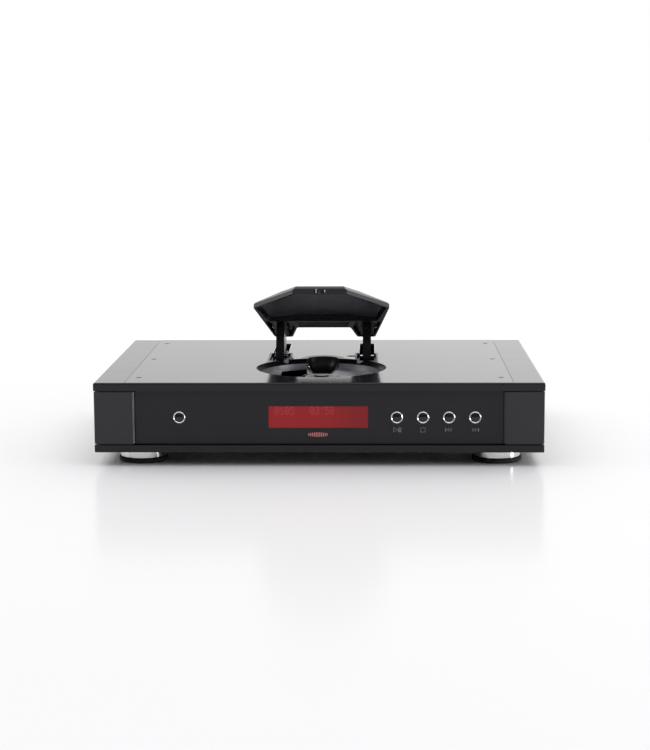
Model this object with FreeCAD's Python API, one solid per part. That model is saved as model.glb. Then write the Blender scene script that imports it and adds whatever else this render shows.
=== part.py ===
"""Top-loading CD player: every piece as its own solid, in millimetres.

Working coordinates: x is centred, y runs back from the front face, z runs up from the table.
Each piece is shifted at export so that the origin is the middle of the bounding box's underside.
"""
import FreeCAD
import Part
import math
import os

V = FreeCAD.Vector
X_AXIS = V(1, 0, 0)
Y_AXIS = V(0, 1, 0)
Z_AXIS = V(0, 0, 1)

# case
WIDTH = 434.6
DEPTH = 312.0
HALF = WIDTH / 2
PLATE_Z = 82.0             # top face of the top panel
TOP_BAND_Z = 74.2          # underside of the upper band
BLOCK_TOP_Z = 73.0         # top of the corner blocks
BLOCK_LOW_Z = 22.6         # underside of the corner blocks
BASE_TOP_Z = 20.9          # top of the lower band
BASE_LOW_Z = 13.8          # underside of the case
FLOOR_Z = 16.3             # inside floor of the base tray
SIDE_X = 217.0             # outer face of the side extrusions
BLOCK_IN_X = 178.1         # inner face of the corner blocks
SEAM_X = 187.0             # half width of the top panel
SEAM_GAP = 0.35
PANEL_T = 2.5
LEDGE_X = 168.0
EDGE_R = 1.6
SOCKET_OUT = 9.0           # how far the sockets stand out behind
SHIFT_Y = -(DEPTH - 1 + SOCKET_OUT) / 2

# feet
FOOT_X = 174.0
FOOT_Y = (38.5, DEPTH - 38.5)
FOOT_RING_R = 22.8
FOOT_PAD_R = 24.3
PAD_TOP_Z = 4.3

# front panel
FRONT_Y = 4.0
FRONT_T = 3.0
BUTTON_Z = 47.7
BUTTON_XS = {"power_button": -134.9, "play_button": 75.3, "stop_button": 100.4,
             "previous_button": 125.5, "next_button": 150.6}
RING_OUT_R = 5.75
RING_IN_R = 4.6
CAP_R = 4.3
TRAVEL = 0.8
WINDOW = (-48.5, 47.5, 37.5, 58.5)      # x low, x high, z low, z high

# disc well, centred on the spindle
WELL_Y = 101.4
WELL_R = 66.1
DISH_R = 60.7
DISH_FLOOR = -9.6                       # heights in the well are below the plate's top
DISH_RIM = -4.5
RING_IN = 61.0
RING_LIP = -3.9
DISC_SEAT = -9.0
EAR_X = (33.5, 57.5)
EAR_Y = 206.0
SLOT_X = (38.0, 54.0)
SLOT_END_Y = 280.0
SCOOP_R = 16.2
SCOOP_Z = PLATE_Z - 1.9
SCOOP_END_Y = WELL_Y + 64.0
SCOOP_TILT = 7.1
SCOOP_BULGE_R = 22.5
SCOOP_WALL = 1.3

# laser sled, which runs outwards along a radius turned to the rear left
DECK_Z = 51.0
SLED_DEG = 133.0
SLED_REST_R = 25.0
SLED_TRAVEL = 32.0
SLED_Z = (54.6, 62.0)
ROD_SIDE = 18.0
ROD_Z = 58.2
SCREW_SIDE = 11.0

# lid, drawn closed and then swung open about the hinge
HINGE_Y = 283.5
HINGE_Z = PLATE_Z - 15.0
OPEN_DEG = 18.7
LID_FRONT_Y = 31.7
LID_GAP = 0.6
LID_FRONT_X = 26.4
LID_SIDE = (69.1, 65.3)
TAIL_OUT_X = 55.1
TAIL_IN_X = 35.4
TAIL_L = 216.4
NOTCH = (28.5, 165.5)
ARM_X = 46.0
ARM_T = 8.7
ARM_OUT_R = 100.0
ARM_IN_R = 52.0


def box(x0, x1, y0, y1, z0, z1):
    return Part.makeBox(x1 - x0, y1 - y0, z1 - z0, V(x0, y0, z0))


def rod(r, x, y, z, length, axis=Z_AXIS):
    return Part.makeCylinder(r, length, V(x, y, z), axis)


def tube(r_out, r_in, x, y, z, length, axis=Z_AXIS):
    start = V(x, y, z) - axis
    return rod(r_out, x, y, z, length, axis).cut(Part.makeCylinder(r_in, length + 2, start, axis))


def turned(profile, x=0.0, y=0.0, z=0.0, axis=Z_AXIS):
    """Solid of revolution from (radius, height) points, standing on (x, y, z) along axis."""
    pts = [V(r, 0, h) for r, h in profile]
    solid = Part.Face(Part.makePolygon(pts + [pts[0]])).revolve(V(0, 0, 0), Z_AXIS, 360)
    solid.Placement = FreeCAD.Placement(V(x, y, z), FreeCAD.Rotation(Z_AXIS, axis))
    return solid


def prism(points, z0, z1):
    pts = [V(x, y, z0) for x, y in points]
    return Part.Face(Part.makePolygon(pts + [pts[0]])).extrude(V(0, 0, z1 - z0))


def side_prism(points, x0, x1):
    """Prism from (y, z) points, running along x."""
    pts = [V(x0, y, z) for y, z in points]
    return Part.Face(Part.makePolygon(pts + [pts[0]])).extrude(V(x1 - x0, 0, 0))


def long_prism(points, y0, y1):
    """Prism from (x, z) points, running along y."""
    pts = [V(x, y0, z) for x, z in points]
    return Part.Face(Part.makePolygon(pts + [pts[0]])).extrude(V(0, y1 - y0, 0))


def round_prism(corners, z0, z1):
    """Prism whose corners are (x, y, radius)."""
    n = len(corners)
    ends = []
    for i in range(n):
        p = V(corners[i][0], corners[i][1], z0)
        a = V(corners[i - 1][0], corners[i - 1][1], z0) - p
        b = V(corners[(i + 1) % n][0], corners[(i + 1) % n][1], z0) - p
        a.normalize()
        b.normalize()
        r = corners[i][2]
        if r <= 0:
            ends.append((p, None, p))
            continue
        half = a.getAngle(b) / 2
        bis = a + b
        bis.normalize()
        centre = p + bis * (r / math.sin(half))
        ends.append((p + a * (r / math.tan(half)), centre - bis * r, p + b * (r / math.tan(half))))
    edges = []
    for i in range(n):
        start, mid, end = ends[i]
        if mid is not None:
            edges.append(Part.Arc(start, mid, end).toShape())
        edges.append(Part.LineSegment(end, ends[(i + 1) % n][0]).toShape())
    return Part.Face(Part.Wire(edges)).extrude(V(0, 0, z1 - z0))


def fuse(pieces):
    return pieces[0].multiFuse(pieces[1:]).removeSplitter()


def mirrored(shape):
    return shape.mirror(V(0, 0, 0), X_AXIS)


def fillet(shape, r, wanted, axis=None):
    """Round the straight edges whose end points both pass the test, and which run along axis if given."""
    picked = []
    for edge in shape.Edges:
        ends = [v.Point for v in edge.Vertexes]
        if len(ends) != 2 or not all(wanted(p) for p in ends):
            continue
        if axis is None or (ends[1] - ends[0]).cross(axis).Length < 1e-3:
            picked.append(edge)
    return shape.makeFillet(r, picked)


def near(a, b):
    return abs(a - b) < 1e-3


def save(name, shape):
    if isinstance(shape, list):
        shape = Part.makeCompound(shape)
    shape = shape.copy()
    shape.translate(V(0, SHIFT_Y, 0))
    shape.exportStep("parts/" + name + ".step")


# ---------------------------------------------------------------- case

SCREW_SPOTS = [(s * 177.2, y) for s in (-1, 1) for y in (34.0, 160.0, 282.0)]


def top_frame():
    body = box(-HALF, HALF, 0, DEPTH, TOP_BAND_Z, PLATE_Z)
    body = fillet(body, EDGE_R, lambda p: near(p.z, PLATE_Z) and (near(p.y, 0) or near(abs(p.x), HALF)))
    inner = SEAM_X + SEAM_GAP
    body = body.cut(box(-inner, inner, 1.9, DEPTH + 1, PLATE_Z - PANEL_T, PLATE_Z + 1))
    body = body.cut(box(-LEDGE_X, LEDGE_X, 12, DEPTH + 1, TOP_BAND_Z - 1, PLATE_Z))
    holes = [rod(1.25, x, y, TOP_BAND_Z - 1, 9) for x, y in SCREW_SPOTS]
    return body.cut(Part.makeCompound(holes))


def scoop_tool(extra, top):
    """Rounded trough from the hub to behind the well, as wide as the scoop plus extra."""
    r = SCOOP_R + extra
    tilt = math.radians(SCOOP_TILT)
    start = V(0, SCOOP_END_Y, SCOOP_Z)
    run = Part.makeCylinder(r, 60, start, V(0, -math.cos(tilt), math.sin(tilt)))
    end = Part.makeSphere(r, start)
    return fuse([run, end]).cut(box(-40, 40, 0, 300, top, top + 60))


def plate_opening(margin, z0, z1):
    """Outline of the hole in the top panel, less the margin all round."""
    pieces = [rod(WELL_R - margin, 0, WELL_Y, z0, z1 - z0),
              rod(SCOOP_BULGE_R - margin, 0, SCOOP_END_Y, z0, z1 - z0)]
    for s in (-1, 1):
        lo, hi = sorted((s * (EAR_X[0] + margin), s * (EAR_X[1] - margin)))
        pieces.append(box(lo, hi, WELL_Y + 20, EAR_Y - margin, z0, z1))
    return fuse(pieces)


def top_panel():
    low = PLATE_Z - PANEL_T
    body = box(-SEAM_X, SEAM_X, 2.2, DEPTH, low + 0.02, PLATE_Z)
    body = body.fuse(box(-LEDGE_X + 0.5, LEDGE_X - 0.5, DEPTH - 3.0, DEPTH - 0.5, TOP_BAND_Z, low + 0.5))
    body = body.cut(plate_opening(0, low - 1, PLATE_Z + 1))
    for s in (-1, 1):
        lo, hi = sorted((s * SLOT_X[0], s * SLOT_X[1]))
        slot = [(lo, EAR_Y - 5, 0), (lo, SLOT_END_Y, 3), (hi, SLOT_END_Y, 3), (hi, EAR_Y - 5, 0)]
        body = body.cut(round_prism(slot, low - 1, PLATE_Z + 1))
    for x, y in SCREW_SPOTS:
        sink = turned([(0, -4), (1.5, -4), (1.5, -1.6), (3.1, 0), (3.1, 1), (0, 1)], x, y, PLATE_Z)
        body = body.cut(sink)
    return body.removeSplitter()


def side_right():
    block = box(BLOCK_IN_X, SIDE_X, 0.2, 26, BLOCK_LOW_Z, BLOCK_TOP_Z)
    block = fillet(block, 1.0, lambda p: near(p.y, 0.2) and near(p.x, SIDE_X))
    block = block.cut(prism([(BLOCK_IN_X - 1, -1), (BLOCK_IN_X + 2.7, -1), (BLOCK_IN_X - 1, 2.7)],
                            BLOCK_LOW_Z - 1, BLOCK_TOP_Z + 1))
    block = block.cut(box(181.2, 209.6, 5, 27, 26, 69.6))
    wall = box(209.6, SIDE_X, 25, DEPTH, BLOCK_LOW_Z, BLOCK_TOP_Z)
    low = box(180, 213, 2.6, 24, BASE_TOP_Z, BLOCK_LOW_Z + 1)
    high = box(180, 213, 2.6, 24, BLOCK_TOP_Z - 1, TOP_BAND_Z)
    low_wall = box(210.2, 213, 23, DEPTH - 2, BASE_TOP_Z, BLOCK_LOW_Z + 1)
    high_wall = box(210.2, 213, 23, DEPTH - 2, BLOCK_TOP_Z - 1, TOP_BAND_Z)
    return fuse([block, wall, low, high, low_wall, high_wall])


BOARD_POSTS = [(-50, 205), (-50, 296), (70, 205), (70, 296), (196, 205), (196, 296)]
DECK_POSTS = [(-84, 150), (54, 150), (54, 50), (-84, 50)]
TRANSFORMER = (-148.0, 175.0)


def base_tray():
    body = box(-SIDE_X, SIDE_X, 0.3, DEPTH, BASE_LOW_Z, BASE_TOP_Z)
    body = fillet(body, 1.2, lambda p: near(p.z, BASE_LOW_Z)
                  and (near(p.y, 0.3) or near(abs(p.x), SIDE_X)))
    body = body.cut(box(-208.5, 208.5, 8, DEPTH - 6, FLOOR_Z, BASE_TOP_Z + 1))
    extras = [tube(3.2, 1.3, x, y, FLOOR_Z - 0.5, 8.2) for x, y in BOARD_POSTS]
    extras += [tube(5.0, 1.6, x, y, FLOOR_Z - 0.5, DECK_Z - FLOOR_Z - 2.5)
               for x, y in DECK_POSTS]
    body = fuse([body] + extras)
    cuts = []
    for x in (-FOOT_X, FOOT_X):
        for y in FOOT_Y:
            cuts.append(rod(2.2, x, y, BASE_LOW_Z - 1, 8))
    for i in range(9):
        x = 8 * (i - 4)
        cuts.append(box(x - 1.5, x + 1.5, 236, 268, BASE_LOW_Z - 1, FLOOR_Z + 1))
    cuts.append(rod(2.6, TRANSFORMER[0], TRANSFORMER[1], BASE_LOW_Z - 1, 6))
    return body.cut(Part.makeCompound(cuts))


def foot_ring(x, y):
    profile = [(0, 0), (21.6, 0), (22.8, 0.9), (22.8, 8.5), (22.0, 9.5), (0, 9.5)]
    ring = turned(profile, x, y, PAD_TOP_Z)
    return ring.cut(rod(2.2, x, y, 0, 20))


def foot_pad(x, y):
    profile = [(0, 0), (FOOT_PAD_R - 1.2, 0), (FOOT_PAD_R, 1.2), (FOOT_PAD_R, PAD_TOP_Z - 0.6),
               (FOOT_PAD_R - 0.6, PAD_TOP_Z), (0, PAD_TOP_Z)]
    pad = turned(profile, x, y, 0)
    return pad.cut(rod(5.0, x, y, -1, 3.5)).cut(rod(2.2, x, y, -1, 8))


def screws():
    made = []
    for x, y in SCREW_SPOTS:
        body = turned([(0, -7), (1.25, -7), (1.25, -1.7), (2.95, -0.15), (0, -0.15)], x, y, PLATE_Z)
        made.append(body.cut(prism([(x + 1.2 * math.cos(a), y + 1.2 * math.sin(a))
                                    for a in [math.radians(60 * k) for k in range(6)]],
                                   PLATE_Z - 1.5, PLATE_Z + 1)))
    for x, y in DECK_POSTS:
        made.append(turned([(0, -12), (1.5, -12), (1.5, 0), (3.2, 0), (3.2, 2.2), (2.6, 2.6), (0, 2.6)],
                           x, y, DECK_Z + 4.5))
    for x in (-FOOT_X, FOOT_X):
        for y in FOOT_Y:
            made.append(turned([(0, 0), (4.0, 0), (4.2, 0.3), (4.2, 1.7), (2.0, 1.7), (2.0, 18), (0, 18)],
                               x, y, 0.8))
    return made


# ---------------------------------------------------------------- front

def front_panel():
    back = FRONT_Y + FRONT_T
    body = box(-177.8, 177.8, FRONT_Y, back, 21.9, TOP_BAND_Z - 0.05)
    lip = box(-170, 170, back - 0.5, back + 2.5, BASE_TOP_Z, 24)
    posts = [rod(3.0, x, back - 0.5, z, 12.3, Y_AXIS) for x in (66, 113, 160) for z in (34, 66)]
    body = fuse([body, lip] + posts)
    x0, x1, z0, z1 = WINDOW
    cuts = [box(x0, x1, FRONT_Y - 1, back + 1, z0, z1)]
    cuts += [rod(RING_OUT_R + 0.05, x, FRONT_Y - 1, BUTTON_Z, FRONT_T + 2, Y_AXIS)
             for x in BUTTON_XS.values()]
    return body.cut(Part.makeCompound(cuts))


def display_window():
    x0, x1, z0, z1 = WINDOW
    g = 0.08
    pane = box(x0 + g, x1 - g, FRONT_Y + 0.15, FRONT_Y + 3.5, z0 + g, z1 - g)
    flange = box(x0 - 3, x1 + 3, FRONT_Y + FRONT_T + 0.05, FRONT_Y + FRONT_T + 1.6, z0 - 3, z1 + 3)
    return fuse([pane, flange])


def display_module():
    x0, x1, z0, z1 = WINDOW
    glass = box(x0 + 2, x1 - 2, 9.2, 12.5, z0 + 1, z1 - 1)
    board = box(x0 - 4, x1 + 4, 12.5, 14.1, z0 - 5, z1 + 6)
    header = box(-12, 12, 14.1, 20.5, z0 - 3, z0 + 4)
    return fuse([glass, board, header])


def button_ring(x):
    back = FRONT_Y + FRONT_T
    ring = turned([(RING_IN_R, 0), (RING_OUT_R, 0), (RING_OUT_R, back - 2.8), (6.9, back - 2.8),
                   (6.9, back - 1.6), (RING_IN_R, back - 1.6)], x, 2.85, BUTTON_Z, Y_AXIS)
    face = turned([(RING_IN_R - 1, -1), (RING_OUT_R + 1, -1), (RING_OUT_R + 1, 0.45),
                   (RING_OUT_R - 0.1, 0.45), (RING_OUT_R - 0.55, 0.05), (RING_IN_R + 0.5, 0.05),
                   (RING_IN_R, 0.5), (RING_IN_R - 1, 0.5)], x, 2.85, BUTTON_Z, Y_AXIS)
    return ring.cut(face)


def button(x):
    dome = 1.1
    ball_r = (CAP_R ** 2 + dome ** 2) / (2 * dome)
    cap = rod(CAP_R, x, 2.6, BUTTON_Z, 4.4, Y_AXIS)
    cap = cap.common(Part.makeSphere(ball_r, V(x, 2.6 + ball_r, BUTTON_Z)).fuse(
        box(x - 6, x + 6, 2.6 + dome, 9, BUTTON_Z - 6, BUTTON_Z + 6)))
    stem = rod(1.8, x, 6.5, BUTTON_Z, 7.5, Y_AXIS)
    collar = rod(3.6, x, 10.2, BUTTON_Z, 1.0, Y_AXIS)
    return fuse([cap, stem, collar])


def button_board():
    board = box(58, 168, 18.8, 20.4, 30, 70)
    holes = [rod(1.2, x, 18, z, 4, Y_AXIS) for x in (66, 113, 160) for z in (34, 66)]
    return board.cut(Part.makeCompound(holes))


def tact_switches():
    made = []
    for name, x in BUTTON_XS.items():
        if name == "power_button":
            continue
        can = box(x - 3, x + 3, 15.6, 18.8, BUTTON_Z - 3, BUTTON_Z + 3)
        made.append(can.fuse(rod(1.7, x, 15.0, BUTTON_Z, 1, Y_AXIS)).removeSplitter())
    return made


def power_switch():
    x = BUTTON_XS["power_button"]
    shell = box(x - 8, x + 8, 16.5, 46, BUTTON_Z - 7, BUTTON_Z + 7)
    nose = rod(2.4, x, 15.0, BUTTON_Z, 2, Y_AXIS)
    foot = box(x - 8, x + 8, 24, 40, FLOOR_Z, BUTTON_Z - 6.9)
    lugs = [box(x - 5 + 10 * k - 0.6, x - 5 + 10 * k + 0.6, 45.5, 51, BUTTON_Z - 2, BUTTON_Z + 2)
            for k in (0, 1)]
    return fuse([shell, nose, foot] + lugs)


# ---------------------------------------------------------------- back

RCA_SPOTS = [(150.0, 48.0), (126.0, 48.0), (88.0, 48.0)]
OPTICAL_X = 62.0
INLET = (-150.0, 47.0)
REAR_Y = DEPTH - 1.0


def rear_panel():
    body = box(-209.3, 209.3, REAR_Y - 2, REAR_Y, BASE_TOP_Z + 0.05, TOP_BAND_Z - 0.05)
    cuts = [rod(3.6, x, REAR_Y - 3, z, 4, Y_AXIS) for x, z in RCA_SPOTS]
    cuts.append(box(OPTICAL_X - 6.6, OPTICAL_X + 6.6, REAR_Y - 3, REAR_Y + 1, 42, 54))
    x, z = INLET
    cuts.append(box(x - 13.8, x + 13.8, REAR_Y - 3, REAR_Y + 1, z - 10.3, z + 10.3))
    for k in range(12):
        vent = -100 + 9.0 * k
        cuts.append(box(vent - 1.2, vent + 1.2, REAR_Y - 3, REAR_Y + 1, 55, 70))
    return body.cut(Part.makeCompound(cuts))


def rca_socket(x, z):
    profile = [(1.6, -6), (3.5, -6), (3.5, 0), (5.6, 0), (5.6, 1.6), (4.15, 1.9), (4.15, 8.6),
               (3.75, SOCKET_OUT), (1.6, SOCKET_OUT)]
    shell = turned(profile, x, REAR_Y, z, Y_AXIS)
    nut = prism([(6.2 * math.cos(math.radians(60 * k)), 6.2 * math.sin(math.radians(60 * k)))
                 for k in range(6)], 0, 2)
    nut.rotate(V(0, 0, 0), X_AXIS, 90)
    nut.translate(V(x, REAR_Y - 2, z))
    nut = nut.cut(rod(3.0, x, REAR_Y - 8, z, 8, Y_AXIS))
    back = rod(1.6, x, REAR_Y - 9, z, 5, Y_AXIS)
    return fuse([shell, nut, back])


def optical_socket():
    x = OPTICAL_X
    body = box(x - 6.5, x + 6.5, REAR_Y - 14, REAR_Y + 1.5, 42.1, 53.9)
    mouth = box(x - 4.2, x + 4.2, REAR_Y - 6, REAR_Y + 2, 44.2, 51.8)
    plug = rod(1.6, x, REAR_Y - 7, 48, 2, Y_AXIS)
    return fuse([body.cut(mouth), plug])


def inlet_outline(x, z, w, h, cut, y0, y1):
    """Block with its two upper corners cut away, like a mains inlet's mouth."""
    pts = [(x - w, z - h), (x + w, z - h), (x + w, z + h - cut), (x + w - cut, z + h),
           (x - w + cut, z + h), (x - w, z + h - cut)]
    return long_prism(pts, y0, y1)


def mains_inlet():
    x, z = INLET
    flange = box(x - 25, x + 25, REAR_Y, REAR_Y + 3, z - 12, z + 12)
    flange = fillet(flange, 4, lambda p: abs(p.x - x) > 24.9 and abs(p.z - z) > 11.9, Y_AXIS)
    body = box(x - 13.7, x + 13.7, REAR_Y - 20, REAR_Y + 0.5, z - 10.2, z + 10.2)
    whole = fuse([flange, body])
    whole = whole.cut(inlet_outline(x, z, 12.2, 8.2, 4.5, REAR_Y - 15, REAR_Y + 4))
    cuts = [rod(1.7, x + s * 20, REAR_Y - 1, z, 5, Y_AXIS) for s in (-1, 1)]
    for dx, dz in ((0, 2.6), (-7, -2.0), (7, -2.0)):
        cuts.append(box(x + dx - 1.05, x + dx + 1.05, REAR_Y - 21, REAR_Y, z + dz - 2.05, z + dz + 2.05))
    return whole.cut(Part.makeCompound(cuts))


def inlet_pins():
    x, z = INLET
    return [box(x + dx - 1, x + dx + 1, REAR_Y - 26, REAR_Y - 1.5, z + dz - 2, z + dz + 2)
            for dx, dz in ((0, 2.6), (-7, -2.0), (7, -2.0))]


# ---------------------------------------------------------------- electronics

BOARD_Z = 24.0
BOARD_TOP = BOARD_Z + 1.6


def main_board():
    board = box(-58, 202, 198, 303, BOARD_Z, BOARD_TOP)
    return board.cut(Part.makeCompound([rod(1.6, x, y, BOARD_Z - 1, 4) for x, y in BOARD_POSTS]))


def board_chips():
    spots = [(-30, 225, 10, 10), (0, 225, 6, 9), (24, 250, 7, 7), (100, 288, 4, 6), (140, 288, 4, 6),
             (20, 280, 5, 5), (-35, 270, 6, 6)]
    return [box(x - a, x + a, y - b, y + b, BOARD_TOP, BOARD_TOP + 2.2) for x, y, a, b in spots]


def power_capacitors():
    made = []
    for x in (88, 114, 140, 166):
        for y in (215, 241):
            can = turned([(0, 0), (11, 0), (11, 2), (10.5, 2.6), (10.5, 3.2), (11, 3.8), (11, 33.5),
                          (10.2, 34.5), (0, 34.5)], x, y, BOARD_TOP)
            made.append(can)
    return made


def signal_capacitors():
    made = []
    for x, y in [(84, 270), (98, 270), (112, 270), (126, 270), (140, 270), (154, 270), (168, 270),
                 (-8, 262), (4, 262), (-45, 292), (40, 216)]:
        made.append(turned([(0, 0), (3.1, 0), (3.1, 7.4), (2.7, 7.8), (0, 7.8)], x, y, BOARD_TOP))
    return made


def heat_sink():
    base = box(181, 185, 210, 250, BOARD_TOP, BOARD_TOP + 38)
    fins = [box(184.5, 197, 210.6 + 6.2 * k, 212.2 + 6.2 * k, BOARD_TOP + 2, BOARD_TOP + 38)
            for k in range(7)]
    return fuse([base] + fins)


def transformer():
    x, y = TRANSFORMER
    profile = [(16, 3), (19, 0), (39, 0), (43, 4), (43, 33), (39, 37), (19, 37), (16, 34)]
    return turned(profile, x, y, FLOOR_Z + 1.5)


def transformer_clamp():
    x, y = TRANSFORMER
    top = FLOOR_Z + 1.5 + 37
    washer = turned([(2.6, -3), (12, -3), (15.5, 0), (27, 0), (27, 1.5), (14.5, 1.5), (11, -1.5),
                     (2.6, -1.5)], x, y, top)
    bolt = turned([(0, -42), (2.5, -42), (2.5, -1.5), (5.5, -1.5), (5.5, 2.5), (0, 2.5)], x, y, top)
    pad = tube(30, 2.6, x, y, FLOOR_Z, 1.5)
    return [washer, bolt, pad]


# ---------------------------------------------------------------- transport

def along(r, side, z):
    """Point at radius r on the sled's line, moved sideways by side."""
    a = math.radians(SLED_DEG)
    return V(r * math.cos(a) - side * math.sin(a), WELL_Y + r * math.sin(a) + side * math.cos(a), z)


def sled_dir():
    a = math.radians(SLED_DEG)
    return V(math.cos(a), math.sin(a), 0)


def sled_box(r0, r1, side0, side1, z0, z1):
    """Box whose long side lies along the sled's line."""
    block = Part.makeBox(r1 - r0, side1 - side0, z1 - z0, V(r0, side0, z0))
    block.rotate(V(0, 0, 0), Z_AXIS, SLED_DEG)
    block.translate(V(0, WELL_Y, 0))
    return block


def well_ring():
    low = PLATE_Z - 6.0
    outer = plate_opening(0.15, low, PLATE_Z - 0.1)
    flange = rod(WELL_R + 5, 0, WELL_Y, low, 3.45)
    ears = [box(min(s * 30, s * 61), max(s * 30, s * 61), WELL_Y + 20, EAR_Y + 3, low, low + 3.45)
            for s in (-1, 1)]
    body = fuse([outer, flange] + ears + [rod(SCOOP_BULGE_R + 2.5, 0, SCOOP_END_Y, low, 3.45)])
    bevel = turned([(0, -9), (62.4, -9), (62.4, DISH_RIM + 0.1), (RING_IN, DISH_RIM + 0.1),
                    (RING_IN, RING_LIP), (WELL_R - 0.4, 0), (WELL_R - 0.4, 3), (0, 3)],
                   0, WELL_Y, PLATE_Z)
    body = body.cut(bevel).cut(scoop_tool(SCOOP_WALL + 0.1, PLATE_Z + 20))
    for s in (-1, 1):
        lo, hi = sorted((s * (SLOT_X[0] + 0.4), s * (SLOT_X[1] - 0.4)))
        body = body.cut(box(lo, hi, 170, EAR_Y + 4, low - 1, PLATE_Z + 1))
        lo, hi = sorted((s * (EAR_X[0] + 2), s * (EAR_X[1] - 2)))
        body = body.cut(box(lo, hi, 150, EAR_Y - 2, PLATE_Z - 3.2, PLATE_Z + 1))
    return body.removeSplitter()


def disc_dish():
    """Flat floor with an upright wall, open over the hub, the scoop and the laser's way."""
    low = DISH_FLOOR - 1.4
    body = turned([(17.4, low), (DISH_R + 1.2, low), (DISH_R + 1.2, DISH_RIM), (DISH_R, DISH_RIM),
                   (DISH_R, DISH_FLOOR), (17.4, DISH_FLOOR)], 0, WELL_Y, PLATE_Z)
    body = body.cut(scoop_tool(SCOOP_WALL + 0.1, PLATE_Z + 20))
    corners = [(-42.0, -20.0), (-14.7, -20.0), (-14.7, 8.0), (-17.2, 64.0), (-42.0, 64.0)]
    hole = prism([(x, WELL_Y + y) for x, y in corners], 60, 90)
    hole = hole.common(rod(DISH_R - 0.5, 0, WELL_Y, 60, 30))
    slit = sled_box(19, 32, -3.9, 3.9, 60, 90)
    return body.cut(hole).cut(slit).removeSplitter()


def finger_scoop():
    """Rounded trough whose edge lies flush with the dish and the ring."""
    shell = scoop_tool(SCOOP_WALL, PLATE_Z + 20).cut(scoop_tool(0, PLATE_Z + 30))
    limit = turned([(17.8, -30), (120, -30), (120, -0.1), (WELL_R - 0.4, -0.1), (RING_IN, RING_LIP),
                    (RING_IN, DISH_RIM), (DISH_R, DISH_RIM), (DISH_R, DISH_FLOOR),
                    (17.8, DISH_FLOOR)], 0, WELL_Y, PLATE_Z)
    return shell.common(limit).removeSplitter()


def transport_chassis():
    low, high = DECK_Z - 1, DECK_Z + 3
    plate = box(-92, 64, 40, 178, DECK_Z, DECK_Z + 2)
    plate = plate.cut(rod(14.5, 0, WELL_Y, low, 4))
    plate = plate.cut(sled_box(12, 62, -10, 10, low, high))
    for x, y in DECK_POSTS:
        plate = plate.cut(rod(3.6, x, y, low, 4))
    blocks = []
    for side in (-ROD_SIDE, ROD_SIDE):
        for r in (4.0, 76.0):
            block = sled_box(r - 3, r + 3, side - 4, side + 4, DECK_Z + 1.5, ROD_Z + 3.2)
            start = along(r - 4, side, ROD_Z)
            blocks.append(block.cut(Part.makeCylinder(1.5, 8, start, sled_dir())))
    ends = []
    for r, deep in ((11.0, 3.0), (74.5, 5.1)):
        block = sled_box(r, r + deep, SCREW_SIDE - 2.9, SCREW_SIDE + 2.9, DECK_Z + 1.5, ROD_Z + 3)
        start = along(r - 1, SCREW_SIDE, ROD_Z)
        ends.append(block.cut(Part.makeCylinder(1.05, deep + 2, start, sled_dir())))
    plate = plate.cut(sled_box(79.4, 99, SCREW_SIDE - 7, SCREW_SIDE + 7, low, high))
    return fuse([plate] + blocks + ends)


def grommet(x, y):
    profile = [(1.7, -3.0), (6.5, -3.0), (6.5, 0.0), (3.5, 0.0), (3.5, 2.0), (6.5, 2.0),
               (6.5, 4.5), (1.7, 4.5)]
    return turned(profile, x, y, DECK_Z)


def spindle_motor():
    can = turned([(1.05, -15), (13.0, -15), (13.5, -14.5), (13.5, -1), (13.0, -0.5), (4.0, -0.5),
                  (4.0, 3.0), (1.05, 3.0)], 0, WELL_Y, DECK_Z)
    tabs = box(-20, 20, WELL_Y - 5, WELL_Y + 5, DECK_Z - 1.6, DECK_Z - 0.1)
    return fuse([can, tabs.cut(rod(6, 0, WELL_Y, DECK_Z - 5, 9))])


def spindle_shaft():
    return rod(1.0, 0, WELL_Y, 39.0, PLATE_Z + DISC_SEAT + 1.4 - 39.0)


def disc_hub():
    seat = DISC_SEAT
    profile = [(1.0, -22.0), (5.5, -22.0), (6.5, -21.0), (6.5, seat - 3.0), (12.2, seat - 1.6),
               (12.2, seat), (7.4, seat), (7.4, seat + 1.0), (6.8, seat + 1.5), (1.0, seat + 1.5)]
    hub = turned(profile, 0, WELL_Y, PLATE_Z)
    for out in ball_directions():
        hub = hub.cut(Part.makeCylinder(0.45, 3, V(0, WELL_Y, PLATE_Z + seat + 0.52) + out * 6.2, out))
    return hub


def hub_ring():
    """Bright rim round the disc's seat."""
    seat = DISC_SEAT
    return turned([(12.2, seat - 1.6), (16.2, seat - 1.6), (16.5, seat - 1.3), (16.5, seat - 0.3),
                   (16.2, seat), (12.2, seat)], 0, WELL_Y, PLATE_Z)


def ball_directions():
    """Directions of the three gripping balls, set in holes in the hub's spigot."""
    angles = [math.radians(79 + 120 * k) for k in range(3)]
    return [V(math.cos(a), math.sin(a), 0) for a in angles]


def chuck_balls():
    centre = V(0, WELL_Y, PLATE_Z + DISC_SEAT + 0.52)
    return [Part.makeSphere(0.43, centre + out * 6.92) for out in ball_directions()]


def guide_rods():
    starts = [along(0.5, side, ROD_Z) for side in (-ROD_SIDE, ROD_SIDE)]
    return [Part.makeCylinder(1.5, 78, start, sled_dir()) for start in starts]


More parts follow.
